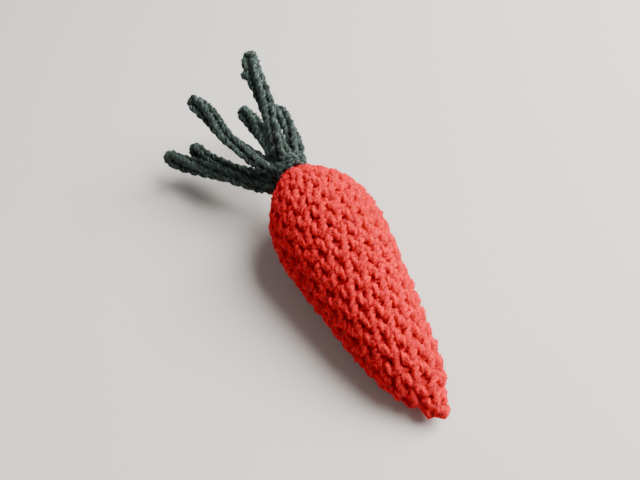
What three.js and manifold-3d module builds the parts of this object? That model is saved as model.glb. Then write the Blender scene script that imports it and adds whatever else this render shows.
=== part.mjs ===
// A crocheted toy carrot that lies on its side: a stuffed root of thick orange yarn with a spray
// of six green crocheted stalks. All lengths are in millimetres, +Z is up, +X runs from the
// greens to the tip, and the origin is the middle of the flat spot that the root rests on.
import * as THREE from "three";
import { mergeVertices } from "three/addons/utils/BufferGeometryUtils.js";
import Module from "manifold-3d";

const wasm = await Module();
wasm.setup();

// Gauge of the crochet: one stitch is this wide and one round is this tall.
const STITCH_WIDTH = 5.5;
const ROUND_HEIGHT = 5.2;
const FEWEST_STITCHES = 5;
const STITCH_LEAN = 0.18; // each round starts this share of a stitch further on
const RELIEF = 1.8; // from a stitch's crest down into the hole beside it

// The root lies with its axis dipping towards the tip, and its own weight flattens it a little.
const AXIS_DIP = THREE.MathUtils.degToRad(9);
const CROWN_HEIGHT = 21.8;
const REST_X = 47; // from the crown to the middle of the flat spot, along the table
const PRESSED_HEIGHT = 3; // stitches closer to the table than this are pressed smooth
const PRESSED_SHARE = 0.75;

const WALL = 3.6; // thickness of the crocheted fabric
const GAP = 0.4; // between the fabric and the stuffing inside it
const CROWN_HOLE = 3.9; // radius that the last round is drawn in to
const INNER_SIDES = 24;

// Outline of the root from the tip to the crown: [distance from the crown along the axis, radius].
const OUTLINE = [
  [94.8, 0],
  [94.2, 1.6],
  [91.8, 3.5],
  [88.8, 4.5],
  [86.0, 6.9],
  [81.0, 9.1],
  [75.0, 10.8],
  [68.0, 12.4],
  [60.0, 13.9],
  [51.0, 15.2],
  [39.5, 17.1],
  [28.0, 18.2],
  [18.0, 17.0],
  [10.0, 13.1],
  [5.0, 8.8],
  [2.2, 6.0],
  [1.0, CROWN_HOLE],
];
// The last third bends a little to one side and down, and the last two rounds form a nub.
const CURL_START = 60;
const CURL_SIDE = 2.2;
const CURL_DROP = 1.8;

// The green stalks: a chain of links, each point an offset from the crown.
const STALK_RADIUS = 2.45;
const LINK_LENGTH = 4.0;
const LINK_BUMP = 0.42;
const STALK_SIDES = 8;
const STALKS = [
  [[-2.0, -1.0, 1.2], [-5.2, -1.8, 6.2], [-8.5, -2.2, 11.0], [-11.8, -2.2, 15.6],
    [-16.4, -1.3, 18.8], [-21.8, -1.0, 21.4], [-27.6, -0.6, 23.5], [-35.0, 1.5, 24.7]],
  [[-2.2, -3.4, 0.8], [-5.1, -7.7, 2.5], [-8.8, -11.1, 4.9], [-13.5, -13.9, 6.7],
    [-19.7, -16.0, 7.4], [-27.1, -16.8, 7.7], [-34.1, -18.0, 8.5], [-41.6, -20.2, 7.9]],
  [[-2.2, -1.2, -0.7], [-6.8, -1.4, -0.6], [-12.2, -1.4, -1.1], [-18.3, -1.0, -2.2],
    [-24.7, -0.6, -3.4], [-31.1, -0.3, -4.4], [-37.5, -0.4, -5.4], [-43.9, -1.0, -6.5]],
  [[-2.2, 1.8, 0.7], [-4.3, 3.2, 2.8], [-6.8, 4.3, 4.6], [-9.9, 5.0, 6.0],
    [-13.7, 5.5, 6.8], [-17.8, 5.6, 7.2], [-23.2, 5.5, 6.2], [-28.8, 4.5, 3.7]],
  [[-1.2, -5.2, -5.6], [-5.1, -9.9, -6.5], [-9.3, -14.3, -6.2], [-13.4, -18.7, -5.8],
    [-19.3, -22.8, -7.0], [-26.0, -26.7, -8.8], [-32.1, -31.0, -10.0], [-36.6, -35.2, -8.8]],
  [[-2.3, -3.9, -2.2], [-5.4, -7.6, -4.7], [-9.8, -11.0, -6.1], [-14.9, -14.0, -7.2],
    [-20.2, -17.1, -8.3], [-25.6, -20.3, -9.6], [-31.3, -22.9, -9.9], [-36.0, -24.9, -8.3]],
];
const KNOT = { stalk: 0, along: 0.83, side: [-1.5, -2.8, -0.3], radius: 1.6 };
const KNOB = { radius: 5.8, thickness: 4.4, lift: 2.7, lobes: 6, lobe: 0.1 };
const ROOT_PLUG = { radius: 3.3, depth: 4.0, sides: 16 };

const orangeYarn = new THREE.MeshStandardMaterial({
  color: new THREE.Color(0.86, 0.17, 0.1), roughness: 0.95, metalness: 0,
});
const greenYarn = new THREE.MeshStandardMaterial({
  color: new THREE.Color(0.09, 0.17, 0.15), roughness: 0.95, metalness: 0,
});
const whiteFibre = new THREE.MeshStandardMaterial({
  color: new THREE.Color(0.88, 0.87, 0.84), roughness: 1, metalness: 0,
});

// Axis of the root.
const towardsTip = new THREE.Vector3(Math.cos(AXIS_DIP), 0, -Math.sin(AXIS_DIP));
const acrossUp = new THREE.Vector3(Math.sin(AXIS_DIP), 0, Math.cos(AXIS_DIP));
const acrossSide = new THREE.Vector3(0, 1, 0);
const crown = new THREE.Vector3(0, 0, CROWN_HEIGHT);

const outline = new THREE.SplineCurve(OUTLINE.map(([along, radius]) => new THREE.Vector2(along, radius)));

// A point of the root, from its distance along the axis, its radius and its angle from the top.
function rootPoint(along, radius, angle) {
  const curl = THREE.MathUtils.smoothstep(along, CURL_START, OUTLINE[0][0]) ** 2;
  return crown.clone()
    .addScaledVector(towardsTip, along)
    .addScaledVector(acrossUp, radius * Math.cos(angle) - CURL_DROP * curl)
    .addScaledVector(acrossSide, radius * Math.sin(angle) + CURL_SIDE * curl);
}

// The outline at a share of its length from tip to crown, moved inwards by a depth.
function outlinePoint(share, depth) {
  const place = outline.getPointAt(share);
  const heading = outline.getTangentAt(share);
  const outward = new THREE.Vector2(heading.y, -heading.x);
  return place.addScaledVector(outward, -depth);
}

// A closed surface through rings of points. A ring may hold one point, and neighbouring rings
// may differ in number: from the closest pair of points, each next edge goes from the ring
// whose own share of a turn is behind.
function ringsGeometry(rings) {
  const starts = [];
  const positions = [];
  for (const ring of rings) {
    starts.push(positions.length / 3);
    for (const point of ring) positions.push(point.x, point.y, point.z);
  }
  const triangles = [];
  for (let n = 0; n + 1 < rings.length; n++) {
    const lower = rings[n].length;
    const upper = rings[n + 1].length;
    const gaps = rings[n + 1].map((point) => point.distanceTo(rings[n][0]));
    const closest = gaps.indexOf(Math.min(...gaps));
    const low = (k) => starts[n] + (k % lower);
    const high = (k) => starts[n + 1] + ((k + closest) % upper);
    let i = 0;
    let j = 0;
    while (i < lower || j < upper) {
      const stepLower = upper === 1 || (lower > 1 && i < lower && (i + 0.5) / lower <= (j + 0.5) / upper);
      if (stepLower) {
        triangles.push(low(i), low(i + 1), high(j));
        i++;
      } else {
        triangles.push(low(i), high(j + 1), high(j));
        j++;
      }
      if (lower === 1) i = j < upper ? 0 : lower;
      if (upper === 1) j = i < lower ? 0 : upper;
    }
  }
  const geometry = new THREE.BufferGeometry();
  geometry.setAttribute("position", new THREE.Float32BufferAttribute(positions, 3));
  geometry.setIndex(triangles);
  return geometry;
}

function solidOf(geometry) {
  const bare = geometry.clone();
  for (const name of ["normal", "uv"]) bare.deleteAttribute(name);
  const merged = mergeVertices(bare);
  return new wasm.Manifold(new wasm.Mesh({
    numProp: 3,
    vertProperties: merged.attributes.position.array,
    triVerts: new Uint32Array(merged.index.array),
  }));
}

function geometryOf(solid) {
  const { vertProperties, triVerts } = solid.getMesh();
  const geometry = new THREE.BufferGeometry();
  geometry.setAttribute("position", new THREE.BufferAttribute(vertProperties, 3));
  geometry.setIndex(new THREE.BufferAttribute(triVerts, 1));
  geometry.computeVertexNormals();
  return geometry;
}

// Depth of the surface below the crest of a single crochet, as a share of the relief. Its two
// legs leave the hole below close together and part on the way up, like a letter V: across is
// the share of the stitch's width and up is the share of the round's height.
function stitchDepth(across, up) {
  const spread = 0.04 + 0.3 * up;
  const fromLeg = Math.min(Math.abs(across - 0.5 + spread), Math.abs(across - 0.5 - spread));
  const besideLeg = THREE.MathUtils.smoothstep(fromLeg, 0.04, 0.42);
  const seam = (1 - THREE.MathUtils.smoothstep(up, 0, 0.3)) * 0.45;
  return Math.min(1, seam + besideLeg * (0.95 - 0.35 * up));
}

// The crocheted cover: rounds of stitches from the tip to the crown, then the plain inside
// of the fabric back to the tip. The number of stitches in a round follows from its radius.
function coverGeometry() {
  const rounds = Math.round(outline.getLength() / ROUND_HEIGHT);
  const columns = 4;
  const levels = [0, 0.25, 0.5, 0.75];
  const rings = [[rootPoint(...outlinePoint(0, 0.3).toArray(), 0)]];
  let start = 0;
  for (let round = 0; round < rounds; round++) {
    const middle = outline.getPointAt((round + 0.5) / rounds).y;
    const stitches = Math.max(FEWEST_STITCHES, Math.round((2 * Math.PI * middle) / STITCH_WIDTH));
    const turn = (2 * Math.PI) / stitches;
    start += turn * STITCH_LEAN;
    for (const up of levels) {
      if (round === 0 && up === 0) continue;
      const ring = [];
      for (let k = 0; k < stitches * columns; k++) {
        const across = (k % columns) / columns;
        const angle = start + (turn * k) / columns;
        const share = (round + up) / rounds;
        const crest = rootPoint(...outlinePoint(share, 0).toArray(), angle);
        const pressed = PRESSED_SHARE * (1 - THREE.MathUtils.smoothstep(crest.z, 0, PRESSED_HEIGHT));
        const depth = RELIEF * stitchDepth(across, up) * (1 - pressed);
        ring.push(rootPoint(...outlinePoint(share, depth).toArray(), angle));
      }
      rings.push(ring);
    }
  }
  rings.push(plainRing(0.8, CROWN_HOLE));
  const innerSteps = 14;
  for (let step = 0; step <= innerSteps; step++) {
    const share = THREE.MathUtils.lerp(0.97, 0.1, step / innerSteps);
    const inside = outlinePoint(share, WALL);
    rings.push(plainRing(inside.x, Math.max(inside.y, CROWN_HOLE - 1.2)));
  }
  rings.push([rootPoint(outlinePoint(0.1, WALL).x + 1.2, 0, 0)]);
  const shell = solidOf(ringsGeometry(rings));
  const belowTable = new THREE.BoxGeometry(300, 120, 40).translate(0, 0, -20);
  return geometryOf(shell.subtract(solidOf(belowTable)));
}

function plainRing(along, radius) {
  return Array.from({ length: INNER_SIDES }, (_, k) =>
    rootPoint(along, radius, (2 * Math.PI * k) / INNER_SIDES));
}

// The stuffing fills the cover up to the drawn-in crown.
function stuffingGeometry() {
  const depth = WALL + GAP;
  const steps = 14;
  const tipEnd = outlinePoint(0.12, depth);
  const crownEnd = outlinePoint(0.95, depth);
  const rings = [[rootPoint(tipEnd.x + 0.6, 0, 0)]];
  for (let step = 0; step <= steps; step++) {
    const inside = outlinePoint(THREE.MathUtils.lerp(0.12, 0.95, step / steps), depth);
    rings.push(plainRing(inside.x, inside.y));
  }
  rings.push([rootPoint(crownEnd.x, 0, 0)]);
  return ringsGeometry(rings);
}

// One stalk: a round cord along a curve. Its links bulge front and back, then at both sides,
// then front and back again, as the V shapes of a crocheted chain do.
function stalkSolid(points) {
  const curve = new THREE.CatmullRomCurve3(points.map((point) => new THREE.Vector3(...point)));
  const length = curve.getLength();
  const body = length - STALK_RADIUS;
  const links = Math.round(body / LINK_LENGTH);
  const places = Array.from({ length: 2 * links + 1 }, (_, k) => ({
    along: (body * k) / (2 * links), bulge: k % 2 ? -1 : 1, scale: 1,
  }));
  for (const [left, scale] of [[0.45, 0.83], [0.12, 0.47]])
    places.push({ along: length - left * STALK_RADIUS, bulge: 0.5, scale });
  const steps = 200;
  const frames = curve.computeFrenetFrames(steps, false);
  const rings = places.map(({ along, bulge, scale }) => {
    const share = along / length;
    const centre = curve.getPointAt(share);
    const n = Math.min(steps, Math.round(share * steps));
    return Array.from({ length: STALK_SIDES }, (_, k) => {
      const angle = (2 * Math.PI * k) / STALK_SIDES;
      const radius = scale * (STALK_RADIUS + LINK_BUMP * bulge * Math.cos(2 * angle));
      return centre.clone()
        .addScaledVector(frames.normals[n], radius * Math.cos(angle))
        .addScaledVector(frames.binormals[n], radius * Math.sin(angle));
    });
  });
  rings.unshift([curve.getPointAt(0)]);
  rings.push([curve.getPointAt(1)]);
  return { solid: solidOf(ringsGeometry(rings)), curve };
}

// The spray of greens: the stalks grow from one lobed knob, whose plug fills the crown's hole.
function greensGeometry() {
  const knobShape = new THREE.SphereGeometry(1, 24, 10);
  const place = knobShape.attributes.position;
  for (let i = 0; i < place.count; i++) {
    const turn = Math.atan2(place.getZ(i), place.getX(i));
    const lobe = 1 + KNOB.lobe * Math.cos(KNOB.lobes * turn);
    place.setXYZ(i, place.getX(i) * lobe * KNOB.radius, (place.getY(i) * KNOB.thickness) / 2,
      place.getZ(i) * lobe * KNOB.radius);
  }
  knobShape.translate(0, KNOB.lift, 0);
  const plugLength = ROOT_PLUG.depth + KNOB.lift;
  const { radius, sides } = ROOT_PLUG;
  const plugShape = new THREE.CylinderGeometry(radius, radius, plugLength, sides)
    .translate(0, KNOB.lift - plugLength / 2, 0);
  const outOfCrown = new THREE.Quaternion()
    .setFromUnitVectors(new THREE.Vector3(0, 1, 0), towardsTip.clone().negate());
  let greens = solidOf(knobShape.applyQuaternion(outOfCrown))
    .add(solidOf(plugShape.applyQuaternion(outOfCrown)));
  STALKS.forEach((points, index) => {
    const { solid, curve } = stalkSolid(points);
    greens = greens.add(solid);
    if (index === KNOT.stalk) {
      const at = curve.getPointAt(KNOT.along).add(new THREE.Vector3(...KNOT.side));
      greens = greens.add(solidOf(new THREE.IcosahedronGeometry(KNOT.radius, 1).translate(...at.toArray())));
    }
  });
  return geometryOf(greens);
}

function namedMesh(name, geometry, material) {
  const mesh = new THREE.Mesh(geometry, material);
  mesh.name = name;
  return mesh;
}

const cover = namedMesh("root_cover", coverGeometry(), orangeYarn);
const stuffing = namedMesh("stuffing", stuffingGeometry(), whiteFibre);
const greens = namedMesh("greens", greensGeometry(), greenYarn);
greens.position.copy(crown);

const carrot = new THREE.Group();
carrot.add(cover, stuffing, greens);
carrot.position.x = -REST_X;

const part = new THREE.Group();
part.add(carrot);

export default part;
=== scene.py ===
"""A crocheted toy carrot, made loop by loop: the root's cover is one strand of orange yarn in
single crochet, and the greens are six stalks of chain stitch. Lengths are in millimetres until a
mesh is made, apart from those of settings and lights, and +X runs from the greens to the tip."""

import bpy
import numpy as np
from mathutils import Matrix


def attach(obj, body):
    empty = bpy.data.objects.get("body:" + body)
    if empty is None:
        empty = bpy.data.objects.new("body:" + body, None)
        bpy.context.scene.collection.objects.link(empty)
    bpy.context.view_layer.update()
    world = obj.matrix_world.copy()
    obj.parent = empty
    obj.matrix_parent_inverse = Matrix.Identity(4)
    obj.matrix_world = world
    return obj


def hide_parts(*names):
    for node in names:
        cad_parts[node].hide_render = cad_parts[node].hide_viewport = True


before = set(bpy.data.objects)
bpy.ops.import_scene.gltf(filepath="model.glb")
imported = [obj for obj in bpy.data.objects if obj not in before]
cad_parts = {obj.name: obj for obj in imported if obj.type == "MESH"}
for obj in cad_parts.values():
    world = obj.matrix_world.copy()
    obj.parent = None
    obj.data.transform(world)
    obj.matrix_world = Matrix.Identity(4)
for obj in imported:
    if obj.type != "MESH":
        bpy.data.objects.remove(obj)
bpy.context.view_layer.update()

bl_info = {
    "name": "Crocheted Carrot",
    "version": (1, 0, 0),
    "blender": (4, 5, 0),
    "location": "3D View > Sidebar > Carrot",
    "description": "Makes a stuffed crocheted carrot from strands of yarn",
    "category": "Add Mesh",
}

MM = 0.001

# The root lies on its side. Its axis starts at the crown and dips towards the tip.
AXIS_DIP = np.radians(9)
CROWN = np.array([-47.0, 0.0, 21.8])
TOWARDS_TIP = np.array([np.cos(AXIS_DIP), 0, -np.sin(AXIS_DIP)])
ACROSS_UP = np.array([np.sin(AXIS_DIP), 0, np.cos(AXIS_DIP)])
ACROSS_SIDE = np.array([0.0, 1.0, 0.0])

# Outline of the root from the tip to the crown: distance from the crown along the axis, radius.
OUTLINE = np.array([
    (94.8, 0), (94.2, 1.6), (91.8, 3.5), (88.8, 4.5), (86.0, 6.9), (81.0, 9.1),
    (75.0, 10.8), (68.0, 12.4), (60.0, 13.9), (51.0, 15.2), (39.5, 17.1), (28.0, 18.2),
    (18.0, 17.0), (10.0, 13.1), (5.0, 8.8), (2.2, 6.0), (1.0, 3.9),
])
# Past this distance along the axis, the root bends by so much to one side and down.
CURL_START = 60
CURL_SIDE = 2.2
CURL_DROP = 1.8
THINNEST_RADIUS = 0.25
PRESS_REACH = 4.0  # the table flattens what comes closer to it than this
FEWEST_STITCHES = 5

# The middle line of each green stalk, from the crown out.
STALKS = [
    [(-2.0, -1.0, 1.2), (-5.2, -1.8, 6.2), (-8.5, -2.2, 11.0), (-11.8, -2.2, 15.6),
     (-16.4, -1.3, 18.8), (-21.8, -1.0, 21.4), (-27.6, -0.6, 23.5), (-35.0, 1.5, 24.7)],
    [(-2.2, -3.4, 0.8), (-5.1, -7.7, 2.5), (-8.8, -11.1, 4.9), (-13.5, -13.9, 6.7),
     (-19.7, -16.0, 7.4), (-27.1, -16.8, 7.7), (-34.1, -18.0, 8.5), (-41.6, -20.2, 7.9)],
    [(-2.2, -1.2, -0.7), (-6.8, -1.4, -0.6), (-12.2, -1.4, -1.1), (-18.3, -1.0, -2.2),
     (-24.7, -0.6, -3.4), (-31.1, -0.3, -4.4), (-37.5, -0.4, -5.4), (-43.9, -1.0, -6.5)],
    [(-2.2, 1.8, 0.7), (-4.3, 3.2, 2.8), (-6.8, 4.3, 4.6), (-9.9, 5.0, 6.0),
     (-13.7, 5.5, 6.8), (-17.8, 5.6, 7.2), (-23.2, 5.5, 6.2), (-28.8, 4.5, 3.7)],
    [(-1.2, -5.2, -5.6), (-5.1, -9.9, -6.5), (-9.3, -14.3, -6.2), (-13.4, -18.7, -5.8),
     (-19.3, -22.8, -7.0), (-26.0, -26.7, -8.8), (-32.1, -31.0, -10.0), (-36.6, -35.2, -8.8)],
    [(-2.3, -3.9, -2.2), (-5.4, -7.6, -4.7), (-9.8, -11.0, -6.1), (-14.9, -14.0, -7.2),
     (-20.2, -17.1, -8.3), (-25.6, -20.3, -9.6), (-31.3, -22.9, -9.9), (-36.0, -24.9, -8.3)],
]
STALK_SHORT = 0.6  # yarn thicknesses from a stalk's last link to the end of its line
CORE_SHORT = 0.8  # a stalk's core stops this far before its last link
# The wraps of yarn round the stalks' foot: how far out from the crown, and the radius.
WRAPS = ((0.6, 4.6), (2.2, 5.2), (3.8, 4.4))
WRAP_TURNS = 1.025
WRAP_POINTS = 90
WRAP_SWELL = 0.45  # of the radius, in and out
WRAP_WAVE = 0.5  # to and fro along the axis
# A lump of looped yarn on the tallest stalk.
LUMP_PLACE = np.array([-27.8, -3.5, 22.7])
LUMP_SIZE = 0.55
LUMP_POINTS = 60

# The strand's way through one single crochet: share of the stitch's width, share of the round's
# height, and distance outwards as a share of the loops' depth.
SINGLE_CROCHET = np.array([
    (0.00, 0.90, -0.58), (0.22, 0.50, -0.62), (0.38, 0.08, -0.56), (0.46, -0.12, -0.28),
    (0.45, 0.05, 0.36), (0.34, 0.30, 0.68), (0.19, 0.60, 0.64), (0.07, 0.86, 0.12),
    (0.28, 1.02, -0.36), (0.72, 1.02, -0.36), (0.93, 0.86, 0.12), (0.81, 0.60, 0.64),
    (0.66, 0.30, 0.68), (0.55, 0.05, 0.36), (0.54, -0.12, -0.28), (0.62, 0.10, -0.56),
    (0.70, 0.60, -0.60), (0.76, 0.96, -0.32), (0.92, 1.02, -0.20), (1.20, 1.02, -0.14),
    (1.44, 1.02, -0.26), (1.40, 1.02, -0.44), (1.12, 1.00, -0.52),
])
# The strand's way through one chain link: shares of the link's length along, to the side and out.
CHAIN_LINK = np.array([
    (-0.35, 0.08, 0.10), (-0.05, 0.20, 0.24), (0.25, 0.27, 0.28), (0.60, 0.28, 0.26),
    (0.90, 0.18, 0.10), (1.00, 0.00, -0.02), (0.90, -0.18, 0.10), (0.60, -0.28, 0.26),
    (0.25, -0.27, 0.28), (-0.05, -0.20, 0.24), (-0.35, -0.08, 0.10), (-0.20, 0.00, -0.20),
    (0.15, 0.02, -0.28), (0.45, 0.05, -0.12),
])
CHAIN_LIFT = 0.09  # more for every point's share outwards, to stay clear of the core
# How the strand turns back at a stalk's end: distance past the last link, then shares of the
# link's width to the side and out.
CHAIN_TURN = np.array([(0.0, 0.12, 0.30), (0.4, 0.0, 0.0), (0.0, -0.12, -0.30)])
# The coil on a stalk's end: points, turns, angle in radians from its foot to its top, length, how
# far behind the end of the line its foot is, and its radius as a share of the link's width.
COIL_POINTS = 22
COIL_TURNS = 2.5
COIL_ANGLE = 1.4
COIL_LENGTH = 1.6
COIL_BACK = 1.9
COIL_RADIUS = 0.34

# Points on a smooth curve for each point that it is made from, and any direction that no strand
# starts in, which sets where its plies start.
OUTLINE_STEPS = 40
STALK_STEPS = 30
YARN_STEPS = 2
FIRST_SIDE = (0.3, 0.2, 0.93)

# A strand's plies and sides. Its radius falls by the groove's share between the plies. Its last
# ring has the end's share of the radius, and each ring before that a step more.
PLIES = 3
STRAND_SIDES = 12
PLY_GROOVE = 0.3
END_SHARE = 0.55
END_STEP = 0.25
GREEN_PITCH = 6.0
# Spread of the lumps in each yarn and the largest of them, as shares of the radius.
COVER_LUMPS = 0.14
GREEN_LUMPS = 0.12
LARGEST_LUMP = 0.3
LOOSENESS = 0.08  # spread of the stitches' depth
CREST_DEPTH = 0.34  # of the highest yarn under the outline, in yarn thicknesses
# Seeds of the random draws. Each piece of the cover adds one to its own.
LOOP_SEED = 7
COVER_SEED = 21
GREEN_SEED = 24

# Layers of loose fibres: name, number, greatest length (on the cover as a share of the setting),
# thickness, points along a fibre, seed.
COVER_FIBRES = (("cover_fuzz", 15000, 1.0, 0.1, 3, 14), ("cover_down", 48000, 0.6, 0.18, 2, 13))
GREEN_FIBRES = ("greens_fuzz", 13000, 2.0, 0.09, 3, 13)
# Shares of a fibre's length: the shortest one, the rise outwards, the spread of the slant, the
# bend outwards, and the spread of the bend sideways.
FIBRE_SHORTEST = 0.3
FIBRE_RISE = (0.15, 0.6)
FIBRE_SLANT = 0.6
FIBRE_DROOP = (-0.4, 0.1)
FIBRE_BEND = 0.4
FIBRE_SIDES = 3
FIBRE_TAPER = 0.6
FIBRE_ROOT = 0.15  # depth in the yarn
FIBRE_LOWEST = 0.02  # height above the table
FACING_OUT = 0.35  # cosine of the steepest angle between a fibre's place and the way out

# Inside the cover: shares of the outline where a piece starts and ends, its depth, inner depth.
LINING = (0.015, 0.965, 2.2, 3.0)
FILLING = (0.1, 0.95, 4.3, None)
LATHE_RINGS = 60
LATHE_SIDES = 40
RIPPLE = 0.2
LINING_LOWEST = 1.6

# Looks of each yarn, as yarn_material takes them.
COVER_LOOK = {"glow": (1.0, 0.3, 0.3), "grain": 1.6, "contrast": 4.6, "streak": 0.8,
              "speck": 0.6, "bump": 1.0}
GREEN_LOOK = {"glow": (0.5, 0.6, 0.6), "grain": 1.0, "contrast": 3.2, "streak": 0.75,
              "speck": 0.15, "bump": 0.9}
FIBRE_PALE, FIBRE_DULL = (0.9, 0.89, 0.86), (0.72, 0.71, 0.68)

FLOOR_HALF = 2000
# Lights: name, place in metres, power as a multiple of the setting, size in metres, colour.
LIGHTS = (("key", (0.08, 0.52, 0.66), 14.2, 0.7, (1.0, 0.95, 0.9)),
          ("fill", (-0.3, -0.6, 0.7), 0.4, 0.6, (1.0, 1.0, 1.0)))
SKY_COLOUR = (1.0, 0.97, 0.94, 1)
SKY_STRENGTH = 0.18
AIM = np.array([-21.64, -2.64, 14.04])  # the point in the middle of the picture
SENSOR_WIDTH = 36
LENS = 33.75


def catmull_rom(points, per_span):
    """A smooth curve through the points: on each span a cubic whose slope at either end is half
    the step between that end's neighbours."""
    before = np.vstack([points[:1], points[:-1]])
    after = np.vstack([points[1:], points[-1:]])
    slope = (after - before) / 2
    t = np.linspace(0, 1, per_span, endpoint=False)[None, :, None]
    p1, p2 = points[:-1, None], points[1:, None]
    v1, v2 = slope[:-1, None], slope[1:, None]
    curve = ((2 * p1 - 2 * p2 + v1 + v2) * t**3 + (3 * p2 - 3 * p1 - 2 * v1 - v2) * t**2
             + v1 * t + p1)
    return np.vstack([curve.reshape(-1, points.shape[1]), points[-1:]])


def b_spline(points, per_span):
    """A curve that rounds the corners of the line through the points: a uniform cubic B-spline
    with both end points given three times."""
    padded = np.vstack([points[:1]] * 2 + [points] + [points[-1:]] * 2)
    t = np.linspace(0, 1, per_span, endpoint=False)[None, :, None]
    a, b, c, d = (padded[k:len(padded) - 3 + k, None] for k in range(4))
    curve = ((1 - t)**3 * a + (3 * t**3 - 6 * t**2 + 4) * b
             + (-3 * t**3 + 3 * t**2 + 3 * t + 1) * c + t**3 * d) / 6
    return curve.reshape(-1, points.shape[1])


def arc_length(points):
    """Distance travelled along a line of points, starting at zero."""
    return np.concatenate([[0], np.cumsum(np.linalg.norm(np.diff(points, axis=0), axis=1))])


OUTLINE_CURVE = catmull_rom(OUTLINE, OUTLINE_STEPS)
OUTLINE_ARC = arc_length(OUTLINE_CURVE)
OUTLINE_HEADING = np.gradient(OUTLINE_CURVE, axis=0)
OUTLINE_HEADING /= np.linalg.norm(OUTLINE_HEADING, axis=1, keepdims=True)


def outline_at(share):
    """Distance along the axis, radius, and outward direction at a share of the outline's length."""
    arc = np.clip(share, 0, 1) * OUTLINE_ARC[-1]
    place = [np.interp(arc, OUTLINE_ARC, OUTLINE_CURVE[:, k]) for k in (0, 1)]
    heading = [np.interp(arc, OUTLINE_ARC, OUTLINE_HEADING[:, k]) for k in (0, 1)]
    return place[0], place[1], heading[1], -heading[0]


def root_point(share, angle, depth):
    """A point of the root: the outline at a share of its length, moved inwards by a depth, turned
    about the dipping axis by an angle from the top, and shifted sideways and down by the curl of
    the tip."""
    along, radius, out_along, out_radius = outline_at(share)
    along = along - depth * out_along
    radius = np.maximum(radius - depth * out_radius, THINNEST_RADIUS)
    t = np.clip((along - CURL_START) / (OUTLINE[0, 0] - CURL_START), 0, 1)
    curl = (t * t * (3 - 2 * t))**2
    up = radius * np.cos(angle) - CURL_DROP * curl
    side = radius * np.sin(angle) + CURL_SIDE * curl
    return (CROWN + along[..., None] * TOWARDS_TIP + up[..., None] * ACROSS_UP
            + side[..., None] * ACROSS_SIDE)


def pressed(points, lowest):
    """Points as they lie on a table. With r for the press reach, a height z below lowest + r
    becomes lowest + r exp((z - lowest) / r - 1), which nears the lowest height but never passes
    it."""
    z = points[..., 2]
    low = lowest + PRESS_REACH * np.exp(np.minimum((z - lowest) / PRESS_REACH - 1, 0))
    points[..., 2] = np.where(z < lowest + PRESS_REACH, low, z)
    return points


def side_directions(points):
    """Unit directions along a line of points, and one at right angles to each that turns as little
    as possible on the way. Each step's smallest turn is a matrix, and the running product of all
    of them is built up by doubling."""
    ahead = np.gradient(points, axis=0)
    ahead /= np.linalg.norm(ahead, axis=1, keepdims=True)
    a, b = ahead[:-1], ahead[1:]
    v = np.cross(a, b)
    c = np.clip(np.sum(a * b, axis=1), -0.999, 1)  # -1, straight back, has no smallest turn
    k = np.zeros((len(v), 3, 3))
    k[:, 0, 1], k[:, 0, 2], k[:, 1, 2] = -v[:, 2], v[:, 1], -v[:, 0]
    k -= k.transpose(0, 2, 1)
    turns = np.eye(3) + k + k @ k / (1 + c)[:, None, None]
    turns = np.concatenate([np.eye(3)[None], turns])
    step = 1
    while step < len(turns):
        turns[step:] = turns[step:] @ turns[:-step]
        step *= 2
    start = np.cross(ahead[0], FIRST_SIDE)
    side = turns @ (start / np.linalg.norm(start))
    side -= ahead * np.sum(side * ahead, axis=1, keepdims=True)
    side /= np.linalg.norm(side, axis=1, keepdims=True)
    return ahead, side


def strand_grid(path, radius, pitch, groove):
    """The surface of a plied strand along a path. Its section is a circle whose radius falls by
    the groove's share between the plies, and it turns once every pitch. Returns the points as
    rings of sides, the outward direction of each, and the distance along the strand."""
    ahead, side = side_directions(path)
    up = np.cross(ahead, side)
    arc = arc_length(path)
    turn = 2 * np.pi * np.arange(STRAND_SIDES) / STRAND_SIDES
    angle = turn[None, :] + (2 * np.pi * arc / pitch)[:, None]
    out = np.cos(angle)[..., None] * side[:, None] + np.sin(angle)[..., None] * up[:, None]
    crest = np.abs(np.cos(PLIES * turn / 2))
    size = radius * (1 - groove + groove * crest)[None, :]
    ends = np.minimum(np.arange(len(path)), np.arange(len(path))[::-1])
    size = size * np.clip(END_SHARE + END_STEP * ends, 0, 1)[:, None]
    return path[:, None] + out * size[..., None], out, arc


def ring_faces(rings, sides):
    """Four-sided faces between rings of points, which run round and join up."""
    ring = np.arange(rings - 1)[:, None] * sides
    k = np.arange(sides)[None]
    ahead = (k + 1) % sides
    return np.stack([ring + k, ring + ahead, ring + sides + ahead, ring + sides + k],
                    axis=-1).reshape(-1, 4)


def end_fans(rings, sides):
    """Triangles that close a tube of rings at both ends. They meet in two more points, which come
    after the rings: the start's and the end's."""
    k = np.arange(sides)
    ahead = (k + 1) % sides
    last = (rings - 1) * sides
    start, end = rings * sides, rings * sides + 1
    return np.vstack([np.stack([ahead, k, np.full(sides, start)], axis=-1),
                      np.stack([last + k, last + ahead, np.full(sides, end)], axis=-1)])


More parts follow.
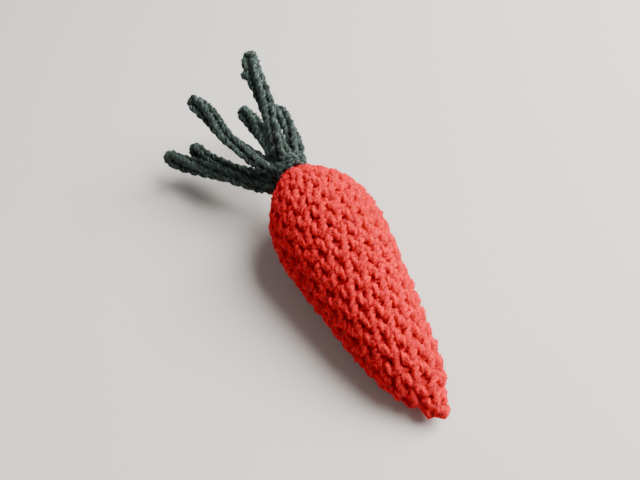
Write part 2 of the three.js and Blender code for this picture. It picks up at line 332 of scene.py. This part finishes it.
def fill_mesh(name, points, quads, triangles=None, uv=None, groove=None):
    """A mesh object from arrays: points in millimetres, faces of four and of three, a UV place for
    each point and one number for each point that says how far down between the plies it is."""
    mesh = bpy.data.meshes.new(name)
    triangles = np.zeros((0, 3), int) if triangles is None else triangles
    loops = np.concatenate([quads.ravel(), triangles.ravel()])
    starts = np.concatenate([np.arange(len(quads)) * 4,
                             len(quads) * 4 + np.arange(len(triangles)) * 3])
    mesh.vertices.add(len(points))
    mesh.vertices.foreach_set("co", (points * MM).astype(np.float32).ravel())
    mesh.loops.add(len(loops))
    mesh.loops.foreach_set("vertex_index", loops.astype(np.int32))
    mesh.polygons.add(len(starts))
    mesh.polygons.foreach_set("loop_start", starts.astype(np.int32))
    mesh.polygons.foreach_set("use_smooth", np.ones(len(starts), bool))
    if uv is not None:
        layer = mesh.uv_layers.new(name="strand")
        layer.data.foreach_set("uv", uv[loops].astype(np.float32).ravel())
    if groove is not None:
        mesh.attributes.new("groove", "FLOAT", "POINT")
        mesh.attributes["groove"].data.foreach_set("value", groove.astype(np.float32))
    mesh.update(calc_edges=True)
    mesh.validate()
    made = bpy.data.objects.new(name, mesh)
    bpy.context.scene.collection.objects.link(made)
    return made


def strand_mesh(name, paths, radius, pitch, roughness, seed):
    """One mesh of several plied strands, each closed at both ends by a point on its path. Every
    point is moved outwards by a random share of the radius, because matted fibres make the yarn
    lumpy."""
    draw = np.random.default_rng(seed)
    sides = STRAND_SIDES
    turn = np.arange(sides) / sides
    crest = np.abs(np.cos(PLIES * np.pi * turn))
    points, quads, triangles, uvs, grooves = [], [], [], [], []
    first = 0
    for path in paths:
        grid, out, arc = strand_grid(path, radius, pitch, PLY_GROOVE)
        rings = len(path)
        lumps = draw.normal(0, roughness, (rings, sides, 1))
        grid = grid + out * radius * np.clip(lumps, -LARGEST_LUMP, LARGEST_LUMP)
        points += [grid.reshape(-1, 3), path[:1], path[-1:]]
        quads.append(ring_faces(rings, sides) + first)
        triangles.append(end_fans(rings, sides) + first)
        uv = np.stack(np.broadcast_arrays(turn[None], arc[:, None] / pitch), axis=-1)
        uvs += [uv.reshape(-1, 2), [[0.5, 0.0]], [[0.5, arc[-1] / pitch]]]
        grooves += [np.tile(1 - crest, rings), [0.5, 0.5]]
        first += rings * sides + 2
    return fill_mesh(name, np.vstack(points), np.vstack(quads), np.vstack(triangles),
                     np.vstack(uvs), np.concatenate(grooves))


def fuzz_mesh(name, paths, radius, pitch, count, length, thickness, steps, seed, away=None):
    """Loose fibres that stand off strands. Each starts inside the yarn at a random place, leaves
    it at a random slant along the strand, and bends: start + t lean + t squared bend, for t from 0
    to 1. A fibre is a three-sided tube that tapers to a point, and none passes the table. Where
    away gives a direction for each place, fibres grow only on the yarn's side that faces it."""
    draw = np.random.default_rng(seed)
    spots, outs, aheads = [], [], []
    for path in paths:
        grid, out, _ = strand_grid(path, radius, pitch, 0.0)
        ahead = np.gradient(path, axis=0)
        ahead /= np.linalg.norm(ahead, axis=1, keepdims=True)
        spots.append(grid.reshape(-1, 3))
        outs.append(out.reshape(-1, 3))
        aheads.append(np.repeat(ahead, STRAND_SIDES, axis=0))
    spots, outs, aheads = np.vstack(spots), np.vstack(outs), np.vstack(aheads)
    places = np.arange(len(spots))
    if away is not None:
        places = places[np.sum(outs * away(spots), axis=1) > FACING_OUT]
    pick = draw.choice(places, count)
    out, ahead = outs[pick], aheads[pick]
    across = np.cross(out, ahead)
    one_each = (count, 1)
    size = length * draw.uniform(FIBRE_SHORTEST, 1.0, one_each)
    lean = (out * draw.uniform(*FIBRE_RISE, one_each)
            + ahead * draw.normal(0, FIBRE_SLANT, one_each)
            + across * draw.normal(0, FIBRE_SLANT, one_each))
    bend = (out * draw.uniform(*FIBRE_DROOP, one_each)
            + ahead * draw.normal(0, FIBRE_BEND, one_each)
            + across * draw.normal(0, FIBRE_BEND, one_each))
    t = np.linspace(0, 1, steps)[None, :, None]
    line = (spots[pick][:, None] - FIBRE_ROOT * out[:, None]
            + size[:, None] * (t * lean[:, None] + t * t * bend[:, None]))
    width = thickness / 2 * (1 - FIBRE_TAPER * t)[..., None]
    turn = 2 * np.pi * np.arange(FIBRE_SIDES) / FIBRE_SIDES
    along = lean / np.linalg.norm(lean, axis=1, keepdims=True)
    side = np.cross(along, across)
    side /= np.linalg.norm(side, axis=1, keepdims=True) + 1e-9
    up = np.cross(along, side)
    section = (np.cos(turn)[None, None, :, None] * side[:, None, None]
               + np.sin(turn)[None, None, :, None] * up[:, None, None])
    rings = line[:, :-1, None] + width[:, :-1] * section
    points = np.concatenate([rings.reshape(count, -1, 3), line[:, -1:]], axis=1)
    points[..., 2] = np.maximum(points[..., 2], FIBRE_LOWEST)
    tip = (steps - 1) * FIBRE_SIDES
    offset = (np.arange(count) * (tip + 1))[:, None, None]
    quads = (ring_faces(steps - 1, FIBRE_SIDES)[None] + offset).reshape(-1, 4)
    ends = np.array([(2, 1, 0), (tip - 3, tip - 2, tip), (tip - 2, tip - 1, tip),
                     (tip - 1, tip - 3, tip)])
    triangles = (ends[None] + offset).reshape(-1, 3)
    return fill_mesh(name, points.reshape(-1, 3), quads, triangles)


def from_axis(points):
    """Unit directions from the root's axis out to points."""
    arm = points - CROWN
    arm = arm - np.sum(arm * TOWARDS_TIP, axis=1, keepdims=True) * TOWARDS_TIP
    return arm / np.linalg.norm(arm, axis=1, keepdims=True)


def stitches_of_root(width, height, lean):
    """Where the stitches of the spiral start: the round that each is in, as a number that grows
    by one on every turn, its angle, and how many stitches that round holds."""
    rounds = int(round(OUTLINE_ARC[-1] / height))
    middles = outline_at((np.arange(rounds) + 0.5) / rounds)[1]
    counts = np.round(2 * np.pi * middles / width).astype(int)
    counts = np.maximum(FEWEST_STITCHES, counts)
    count = np.repeat(counts, counts)
    place = np.concatenate([r + np.arange(n) / n for r, n in enumerate(counts)])
    step = 2 * np.pi / count * (1 + lean / count)
    angle = np.concatenate([[0], np.cumsum(step)[:-1]])
    return rounds, place, angle, count


def root_strand(settings):
    """The path of the cover's yarn. Every stitch repeats the same loop, stretched to the width
    and height that its round has there, and each starts where the one before it ended."""
    width, height = settings.stitch_width / MM, settings.round_height / MM
    yarn, loop = settings.yarn_thickness / MM, settings.loop_depth / MM
    rounds, place, angle, count = stitches_of_root(width, height, settings.stitch_lean)
    draw = np.random.default_rng(LOOP_SEED)
    u, v, n = (SINGLE_CROCHET[:, k][None] for k in range(3))
    jitter = draw.normal(0, settings.unevenness, (3, len(place), SINGLE_CROCHET.shape[0]))
    jitter[:, :, [0, -1]] = 0
    loose = 1 + draw.normal(0, LOOSENESS, (len(place), 1))
    u = u + jitter[0]
    v = v + jitter[1]
    n = (n + jitter[2]) * loose
    share = (place[:, None] + u / count[:, None] + v) / rounds
    turn = angle[:, None] + (u + settings.stitch_lean * v) * (2 * np.pi / count)[:, None]
    depth = CREST_DEPTH * yarn + loop * (SINGLE_CROCHET[:, 2].max() - n)
    points = root_point(share, turn, depth).reshape(-1, 3)
    return b_spline(points, YARN_STEPS)


def matt_material(name, sheen, tint):
    """A material with one matt shader, whose nodes and links are still to be added."""
    material = bpy.data.materials.new(name)
    material.use_nodes = True
    nodes, links = material.node_tree.nodes, material.node_tree.links
    nodes.clear()
    output = nodes.new("ShaderNodeOutputMaterial")
    shader = nodes.new("ShaderNodeBsdfPrincipled")
    shader.inputs["Roughness"].default_value = 0.95
    shader.inputs["Specular IOR Level"].default_value = 0.05
    shader.inputs["Sheen Weight"].default_value = sheen
    shader.inputs["Sheen Tint"].default_value = (*tint, 1)
    links.new(shader.outputs["BSDF"], output.inputs["Surface"])
    return material, nodes, links, shader


def yarn_material(name, settings, glow, grain, contrast, streak, speck, bump):
    """Matt plied yarn. Its colour darkens to the shade colour down between the plies and in small
    random specks, the dips of the relief: both are painted shade. Fine slanting fibres, drawn as
    stripes over the strand's own UV map, are painted lighter, as highlights. Both also set a bump.
    Light spreads a little inside, by the glow's reach for each colour. A larger grain makes specks
    and fibres finer, contrast deepens the specks about the same mean, streak is the most that a
    painted highlight lightens a fibre, and speck is the share of the specks in the relief."""
    material, nodes, links, shader = matt_material(name, sheen=0.12, tint=settings.light)
    shader.inputs["Sheen Roughness"].default_value = 0.4
    shader.inputs["Subsurface Weight"].default_value = 0.6
    shader.inputs["Subsurface Radius"].default_value = glow
    shader.inputs["Subsurface Scale"].default_value = 0.0012
    place = nodes.new("ShaderNodeTexCoord")
    strand = nodes.new("ShaderNodeUVMap")
    strand.uv_map = "strand"
    stretch = nodes.new("ShaderNodeMapping")
    stretch.inputs["Scale"].default_value = (11 * grain, 3 * grain, 1)
    stretch.inputs["Rotation"].default_value = (0, 0, 0.5)
    fibres = nodes.new("ShaderNodeTexNoise")
    fibres.inputs["Scale"].default_value = 1.0
    fibres.inputs["Detail"].default_value = 3
    speckle = nodes.new("ShaderNodeTexNoise")
    speckle.inputs["Scale"].default_value = 1000 * grain
    speckle.inputs["Detail"].default_value = 2
    groove = nodes.new("ShaderNodeAttribute")
    groove.attribute_name = "groove"
    # Painted shade: the share of colour over the shade colour is 0.9, less 1.1 times the groove's
    # depth, and more or less by the specks, whose noise is 0.5 on average.
    groove_painted_shade = nodes.new("ShaderNodeMath")
    groove_painted_shade.operation = "MULTIPLY_ADD"
    groove_painted_shade.inputs[1].default_value = -1.1
    groove_painted_shade.inputs[2].default_value = 0.9 - 0.5 * contrast
    colour_over_painted_shade = nodes.new("ShaderNodeMath")
    colour_over_painted_shade.operation = "MULTIPLY_ADD"
    colour_over_painted_shade.inputs[1].default_value = contrast
    colour_over_painted_shade.use_clamp = True
    # Mixes the yarn's colour with the shade colour, which is painted shade.
    base = nodes.new("ShaderNodeMix")
    base.data_type = "RGBA"
    base.inputs["A"].default_value = (*settings.shade, 1)
    base.inputs["B"].default_value = (*settings.colour, 1)
    # Painted highlights: fibres lighten the yarn towards the pale colour where the relief stands
    # above its mean, 0.5 + 0.5 speck.
    spread = nodes.new("ShaderNodeMapRange")
    spread.inputs["From Min"].default_value = 0.5 + 0.42 * speck
    spread.inputs["From Max"].default_value = 0.68 + 0.55 * speck
    spread.inputs["To Min"].default_value = 0.0
    spread.inputs["To Max"].default_value = streak
    # Mixes in the pale colour, which is a painted highlight.
    tint = nodes.new("ShaderNodeMix")
    tint.data_type = "RGBA"
    tint.inputs["B"].default_value = (*settings.light, 1)
    height = nodes.new("ShaderNodeMath")
    height.operation = "MULTIPLY_ADD"
    height.inputs[1].default_value = speck
    relief = nodes.new("ShaderNodeBump")
    relief.inputs["Strength"].default_value = bump
    relief.inputs["Distance"].default_value = 0.0005
    links.new(strand.outputs["UV"], stretch.inputs["Vector"])
    links.new(stretch.outputs["Vector"], fibres.inputs["Vector"])
    links.new(place.outputs["Object"], speckle.inputs["Vector"])
    links.new(groove.outputs["Fac"], groove_painted_shade.inputs[0])
    links.new(speckle.outputs["Fac"], colour_over_painted_shade.inputs[0])
    links.new(groove_painted_shade.outputs[0], colour_over_painted_shade.inputs[2])
    links.new(colour_over_painted_shade.outputs[0], base.inputs["Factor"])
    links.new(height.outputs[0], spread.inputs["Value"])
    links.new(base.outputs["Result"], tint.inputs["A"])
    links.new(spread.outputs["Result"], tint.inputs["Factor"])
    links.new(tint.outputs["Result"], shader.inputs["Base Color"])
    links.new(speckle.outputs["Fac"], height.inputs[0])
    links.new(fibres.outputs["Fac"], height.inputs[2])
    links.new(height.outputs[0], relief.inputs["Height"])
    links.new(relief.outputs["Normal"], shader.inputs["Normal"])
    return material


def fleece_material(name, dark, pale, scale, bump):
    """Matt fibre without a direction: two colours mixed by a fine noise that also sets a bump."""
    material, nodes, links, shader = matt_material(name, sheen=0.15, tint=pale)
    place = nodes.new("ShaderNodeTexCoord")
    tufts = nodes.new("ShaderNodeTexNoise")
    tufts.inputs["Scale"].default_value = scale
    tufts.inputs["Detail"].default_value = 4
    tufts.inputs["Distortion"].default_value = 1.2
    ramp = nodes.new("ShaderNodeValToRGB")
    ramp.color_ramp.elements[0].position = 0.35
    ramp.color_ramp.elements[0].color = (*dark, 1)
    ramp.color_ramp.elements[1].position = 0.65
    ramp.color_ramp.elements[1].color = (*pale, 1)
    relief = nodes.new("ShaderNodeBump")
    relief.inputs["Strength"].default_value = bump
    relief.inputs["Distance"].default_value = 0.0006
    links.new(place.outputs["Object"], tufts.inputs["Vector"])
    links.new(tufts.outputs["Fac"], ramp.inputs["Fac"])
    links.new(ramp.outputs["Color"], shader.inputs["Base Color"])
    links.new(tufts.outputs["Fac"], relief.inputs["Height"])
    links.new(relief.outputs["Normal"], shader.inputs["Normal"])
    return material


class CarrotRootSettings(bpy.types.PropertyGroup):
    """Sizes and colours of the crocheted root."""

    yarn_thickness: bpy.props.FloatProperty(
        name="Yarn thickness", description="Diameter of the orange strand", default=0.003,
        unit="LENGTH", precision=5)
    loop_depth: bpy.props.FloatProperty(
        name="Loop depth", description="Scale of the loops from front to back of the cover",
        default=0.0018, unit="LENGTH", precision=5)
    stitch_width: bpy.props.FloatProperty(
        name="Stitch width", description="Width of one single crochet", default=0.0055,
        unit="LENGTH", precision=5)
    round_height: bpy.props.FloatProperty(
        name="Round height", description="Height of one round of stitches", default=0.0052,
        unit="LENGTH", precision=5)
    stitch_lean: bpy.props.FloatProperty(
        name="Stitch lean", description="How far each round starts further on, in stitches",
        default=0.18)
    unevenness: bpy.props.FloatProperty(
        name="Unevenness", description="How far the hand-made loops stray, in stitches",
        default=0.03)
    twist_pitch: bpy.props.FloatProperty(
        name="Ply twist", description="Length of yarn in which the plies turn once",
        default=0.007, unit="LENGTH", precision=5)
    fuzz_length: bpy.props.FloatProperty(
        name="Fibre length", description="Longest of the loose fibres", default=0.0022,
        unit="LENGTH", precision=5)
    colour: bpy.props.FloatVectorProperty(
        name="Orange", description="Colour of the yarn", subtype="COLOR",
        default=(0.68, 0.005, 0.012), min=0, max=1)
    # Painted shade: this colour is laid into the yarn down between the plies and in its specks, and
    # into the stitches' backs.
    shade: bpy.props.FloatVectorProperty(
        name="Painted shade orange", description="Colour down between the plies", subtype="COLOR",
        default=(0.38, 0.022, 0.028), min=0, max=1)
    # Painted highlight: this colour lightens the yarn's fibre streaks and the pale tufts of its
    # fuzz.
    light: bpy.props.FloatVectorProperty(
        name="Painted highlight orange", description="Colour of single fibres on top", subtype="COLOR",
        default=(1.0, 0.02, 0.035), min=0, max=1)


class CarrotGreensSettings(bpy.types.PropertyGroup):
    """Sizes and colours of the crocheted stalks."""

    yarn_thickness: bpy.props.FloatProperty(
        name="Yarn thickness", description="Diameter of the green strand", default=0.0024,
        unit="LENGTH", precision=5)
    link_length: bpy.props.FloatProperty(
        name="Link length", description="Length of one chain link", default=0.004,
        unit="LENGTH", precision=5)
    link_width: bpy.props.FloatProperty(
        name="Link width", description="Scale of a link across the stalk", default=0.0051,
        unit="LENGTH", precision=5)
    twist: bpy.props.FloatProperty(
        name="Stalk twist", description="Turn of the stalk about its own line, end to end",
        default=2.4, subtype="ANGLE")
    colour: bpy.props.FloatVectorProperty(
        name="Green", description="Colour of the yarn", subtype="COLOR",
        default=(0.032, 0.045, 0.039), min=0, max=1)
    # Painted shade: this colour is laid into the yarn down between the plies and in its specks.
    shade: bpy.props.FloatVectorProperty(
        name="Painted shade green", description="Colour down between the plies", subtype="COLOR",
        default=(0.02, 0.025, 0.02), min=0, max=1)
    # Painted highlight: this colour lightens the yarn's fibre streaks and the pale tufts of its
    # fuzz.
    light: bpy.props.FloatVectorProperty(
        name="Painted highlight green", description="Colour of single fibres on top", subtype="COLOR",
        default=(0.12, 0.18, 0.185), min=0, max=1)


class CarrotStageSettings(bpy.types.PropertyGroup):
    """The table, the lights and the camera."""

    floor_colour: bpy.props.FloatVectorProperty(
        name="Floor", description="Colour of the pale floor", subtype="COLOR",
        default=(0.56, 0.55, 0.53), min=0, max=1)
    light_power: bpy.props.FloatProperty(
        name="Light power", description="Power that both lights are multiples of", default=2.2,
        unit="POWER")
    camera_angle: bpy.props.FloatProperty(
        name="Camera azimuth", description="Direction that the camera looks from",
        default=float(np.radians(62.33)), subtype="ANGLE")
    camera_height: bpy.props.FloatProperty(
        name="Camera elevation", description="Angle of the camera above the table",
        default=float(np.radians(53.5)), subtype="ANGLE")
    camera_distance: bpy.props.FloatProperty(
        name="Camera distance", description="From the camera to the carrot", default=0.2,
        unit="LENGTH")


def finish_piece(piece, material, slot, *nodes):
    """Gives a piece its material and its body, and hides the nodes that it stands for. The slot is
    not used.
    """
    piece.data.materials.append(material)
    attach(piece, "root")
    if nodes:
        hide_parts(*nodes)


class MESH_OT_carrot_cover(bpy.types.Operator):
    """Crochet the root's cover from one strand of orange yarn, from the tip to the crown"""

    bl_idname = "mesh.carrot_cover"
    bl_label = "Crochet the Cover"

    def execute(self, context):
        settings = context.scene.carrot_root
        material = yarn_material("orange_yarn", settings, **COVER_LOOK)
        radius = settings.yarn_thickness / MM / 2
        pitch = settings.twist_pitch / MM
        path = pressed(root_strand(settings), radius)
        names = ("cover_tip", "cover_middle", "cover_crown")
        cuts = np.linspace(0, len(path) - 1, len(names) + 1).astype(int)
        for k, name in enumerate(names):
            part = path[cuts[k]:cuts[k + 1] + 1]
            piece = strand_mesh(name, [part], radius, pitch, COVER_LUMPS, COVER_SEED + k)
            finish_piece(piece, material, "orange_yarn", "root_cover")
        # The fuzz's pale tufts take the pale colour, which is a painted highlight.
        fleece = fleece_material("orange_fuzz", settings.colour, settings.light, scale=900, bump=0)
        for name, count, share, thickness, steps, seed in COVER_FIBRES:
            length = share * settings.fuzz_length / MM
            fuzz = fuzz_mesh(name, [path], radius, pitch, count, length, thickness, steps, seed,
                             from_axis)
            finish_piece(fuzz, fleece, "orange_yarn")
        return {"FINISHED"}


class MESH_OT_carrot_filling(bpy.types.Operator):
    """Line the cover with the backs of its stitches, and fill it with loose white fibre"""

    bl_idname = "mesh.carrot_filling"
    bl_label = "Fill the Root"

    def execute(self, context):
        settings = context.scene.carrot_root
        rounds = int(round(OUTLINE_ARC[-1] / (settings.round_height / MM)))
        lining = self.lathe("cover_lining", *LINING, rounds)
        # The backs' dark tufts take the shade colour, which is painted shade; the rest is the
        # yarn's colour.
        backs = fleece_material("orange_backs_painted_shade", settings.shade, settings.colour, scale=300,
                                bump=0.8)
        finish_piece(lining, backs, "orange_yarn", "root_cover")
        filling = self.lathe("fibre_filling", *FILLING, rounds)
        fleece = fleece_material("white_fibre", FIBRE_DULL, FIBRE_PALE, scale=260, bump=1)
        finish_piece(filling, fleece, "white_fibre", "stuffing")
        return {"FINISHED"}

    def lathe(self, name, tip, crown, depth, inner, rounds):
        """A closed surface inside the cover. Its depth ripples with the rounds and stitches; with
        an inner depth it turns back there and becomes a shell, and otherwise it is solid."""
        share = np.linspace(tip, crown, LATHE_RINGS)[:, None]
        turn = 2 * np.pi * np.arange(LATHE_SIDES)[None] / LATHE_SIDES
        ripple = (RIPPLE * np.cos(2 * np.pi * rounds * share)
                  * np.cos(turn * LATHE_SIDES / 2))
        rings = root_point(share + 0 * turn, turn + 0 * share, depth + ripple)
        if inner is not None:
            back = root_point(share[::-1] + 0 * turn, turn + 0 * share, inner + 0 * ripple)
            rings = np.concatenate([rings, back])
        rings = pressed(rings, LINING_LOWEST)
        count, sides = rings.shape[:2]
        points = np.vstack([rings.reshape(-1, 3), rings[0].mean(0), rings[-1].mean(0)])
        return fill_mesh(name, points, ring_faces(count, sides), end_fans(count, sides))


class MESH_OT_carrot_greens(bpy.types.Operator):
    """Crochet the six green stalks and the knot of stitches that holds them"""

    bl_idname = "mesh.carrot_greens"
    bl_label = "Crochet the Greens"

    def execute(self, context):
        settings = context.scene.carrot_greens
        material = yarn_material("green_yarn", settings, **GREEN_LOOK)
        radius = settings.yarn_thickness / MM / 2
        strands = [path for points in STALKS for path in self.stalk(settings, points)]
        strands += self.knot()
        piece = strand_mesh("greens_yarn", strands, radius, GREEN_PITCH, GREEN_LUMPS, GREEN_SEED)
        finish_piece(piece, material, "green_yarn", "greens")
        name, *fibres = GREEN_FIBRES
        fuzz = fuzz_mesh(name, strands, radius, GREEN_PITCH, *fibres)
        # The fuzz's pale tufts take the pale colour, which is a painted highlight.
        fleece = fleece_material("green_fuzz", settings.colour, settings.light, scale=900, bump=0)
        finish_piece(fuzz, fleece, "green_yarn")
        return {"FINISHED"}

    def stalk(self, settings, points):
        """One strand that chains out to the stalk's end and back along its other side, a straight
        core, and a coil that rounds the end off. A link's points are carried along the stalk's
        line: along it, and to the side and out, as its own directions turn by the twist. The coil
        winds over half a ball: for t from 0 to 1 and the coil's angle a, it is the length times
        sin(a t) further along and the radius times cos(a t) from the line."""
        line = CROWN + catmull_rom(np.array(points), STALK_STEPS)
        arc = arc_length(line)
        ahead, side = side_directions(line)
        width = settings.link_width / MM
        reach = arc[-1] - settings.yarn_thickness / MM * STALK_SHORT
        links = int(round(reach / (settings.link_length / MM)))
        step = reach / links
        out_along = ((np.arange(links)[:, None] + CHAIN_LINK[None, :, 0]) * step).ravel()
        loops = np.tile(CHAIN_LINK[:, 1:], (links, 1)) + (0, CHAIN_LIFT)
        along = np.concatenate([out_along, reach + CHAIN_TURN[:, 0], reach - out_along])
        loops = np.vstack([loops, CHAIN_TURN[:, 1:], -loops])
        centre, n, a = (np.stack([np.interp(along, arc, values[:, k]) for k in range(3)], axis=-1)
                        for values in (line, side, ahead))
        turn = settings.twist * along / arc[-1]
        outward = np.cos(turn)[:, None] * n + np.sin(turn)[:, None] * np.cross(a, n)
        sideways = np.cross(a, outward)
        strand = centre + width * (loops[:, :1] * sideways + loops[:, 1:] * outward)
        end = len(out_along)
        t = np.linspace(0, 1, COIL_POINTS)[:, None]
        winding = 2 * np.pi * COIL_TURNS * t
        around = np.cos(winding) * outward[end] + np.sin(winding) * sideways[end]
        coil = (line[-1] + ahead[-1] * (COIL_LENGTH * np.sin(COIL_ANGLE * t) - COIL_BACK)
                + COIL_RADIUS * width * np.cos(COIL_ANGLE * t) * around)
        core = line[arc < reach - CORE_SHORT]
        return [b_spline(strand, YARN_STEPS), core, b_spline(coil, YARN_STEPS)]

    def knot(self):
        """Wraps of yarn round the foot of the stalks, and the lump on the tallest one. A wrap is a
        circle about the root's axis, a little more than one turn, whose radius and height swell
        and shrink once for each stalk. The lump's line is sin a + sin 2a / 2, cos a - cos 2a / 2
        and -0.6 sin 1.5a, for an angle a of two turns."""
        strands = []
        for level, radius in WRAPS:
            turn = np.linspace(0, 2 * np.pi * WRAP_TURNS, WRAP_POINTS)
            size = radius + WRAP_SWELL * np.cos(len(STALKS) * turn)
            lift = level + WRAP_WAVE * np.sin(len(STALKS) * turn + level)
            strands.append(CROWN - lift[:, None] * TOWARDS_TIP
                           + (size * np.cos(turn))[:, None] * ACROSS_UP
                           + (size * np.sin(turn))[:, None] * ACROSS_SIDE)
        turn = np.linspace(0, 4 * np.pi, LUMP_POINTS)
        lump = np.stack([np.sin(turn) + 0.5 * np.sin(2 * turn),
                         np.cos(turn) - 0.5 * np.cos(2 * turn),
                         -0.6 * np.sin(1.5 * turn)], axis=-1)
        strands.append(CROWN + LUMP_PLACE + LUMP_SIZE * lump)
        return strands


class SCENE_OT_carrot_stage(bpy.types.Operator):
    """Lay out the pale floor, the soft lights and the camera"""

    bl_idname = "scene.carrot_stage"
    bl_label = "Set the Stage"

    def execute(self, context):
        settings = context.scene.carrot_stage
        self.floor(settings)
        self.lights(context, settings)
        self.camera(context, settings)
        return {"FINISHED"}

    def floor(self, settings):
        """A flat square at table height."""
        corners = FLOOR_HALF * np.array([(-1, -1, 0), (1, -1, 0), (1, 1, 0), (-1, 1, 0)], float)
        floor = fill_mesh("floor", corners, np.array([[0, 1, 2, 3]]))
        material = bpy.data.materials.new("pale_floor")
        material.use_nodes = True
        shader = material.node_tree.nodes["Principled BSDF"]
        shader.inputs["Base Color"].default_value = (*settings.floor_colour, 1)
        shader.inputs["Roughness"].default_value = 0.8
        floor.data.materials.append(material)

    def lights(self, context, settings):
        """A large soft warm key light from the right, a weak fill opposite, and an even sky."""
        for name, place, share, size, colour in LIGHTS:
            data = bpy.data.lights.new(name, "AREA")
            data.color = colour
            data.energy = settings.light_power * share
            data.size = size
            light = bpy.data.objects.new(name, data)
            light.location = place
            light.rotation_mode = "QUATERNION"
            light.rotation_quaternion = light.location.to_track_quat("Z", "Y")
            context.scene.collection.objects.link(light)
        world = bpy.data.worlds.new("studio")
        world.use_nodes = True
        sky = world.node_tree.nodes["Background"]
        sky.inputs["Color"].default_value = SKY_COLOUR
        sky.inputs["Strength"].default_value = SKY_STRENGTH
        context.scene.world = world

    def camera(self, context, settings):
        """The camera looks from its azimuth and elevation at a point near the root's middle."""
        a, e = settings.camera_angle, settings.camera_height
        back = np.array([np.sin(a) * np.cos(e), -np.cos(a) * np.cos(e), np.sin(e)])
        data = bpy.data.cameras.new("camera")
        data.sensor_width = SENSOR_WIDTH
        data.lens = LENS
        data.clip_start = 0.005
        data.clip_end = 20
        camera = bpy.data.objects.new("camera", data)
        camera.location = AIM * MM + back * settings.camera_distance
        camera.rotation_mode = "QUATERNION"
        away = camera.location.copy()
        away[:] = back
        camera.rotation_quaternion = away.to_track_quat("Z", "Y")
        context.scene.collection.objects.link(camera)
        context.scene.camera = camera


class VIEW3D_PT_carrot(bpy.types.Panel):
    """Sizes, colours and steps of the crocheted carrot"""

    bl_label = "Crocheted Carrot"
    bl_space_type = "VIEW_3D"
    bl_region_type = "UI"
    bl_category = "Carrot"

    def draw(self, context):
        layout = self.layout
        groups = (context.scene.carrot_root, context.scene.carrot_greens,
                  context.scene.carrot_stage)
        for settings in groups:
            box = layout.box()
            for name in settings.__annotations__:
                box.prop(settings, name)
        for step in STEPS:
            layout.operator(step.bl_idname)


SETTINGS = {
    "carrot_root": CarrotRootSettings,
    "carrot_greens": CarrotGreensSettings,
    "carrot_stage": CarrotStageSettings,
}
STEPS = (MESH_OT_carrot_cover, MESH_OT_carrot_filling, MESH_OT_carrot_greens,
         SCENE_OT_carrot_stage)


def register():
    for kind in (*SETTINGS.values(), *STEPS, VIEW3D_PT_carrot):
        bpy.utils.register_class(kind)
    for name, kind in SETTINGS.items():
        setattr(bpy.types.Scene, name, bpy.props.PointerProperty(type=kind))


def unregister():
    for name in SETTINGS:
        delattr(bpy.types.Scene, name)
    for kind in (VIEW3D_PT_carrot, *reversed(STEPS), *reversed(SETTINGS.values())):
        bpy.utils.unregister_class(kind)


def main():
    register()
    bpy.ops.mesh.carrot_cover()
    bpy.ops.mesh.carrot_filling()
    bpy.ops.mesh.carrot_greens()
    bpy.ops.scene.carrot_stage()


if __name__ == "__main__":
    main()
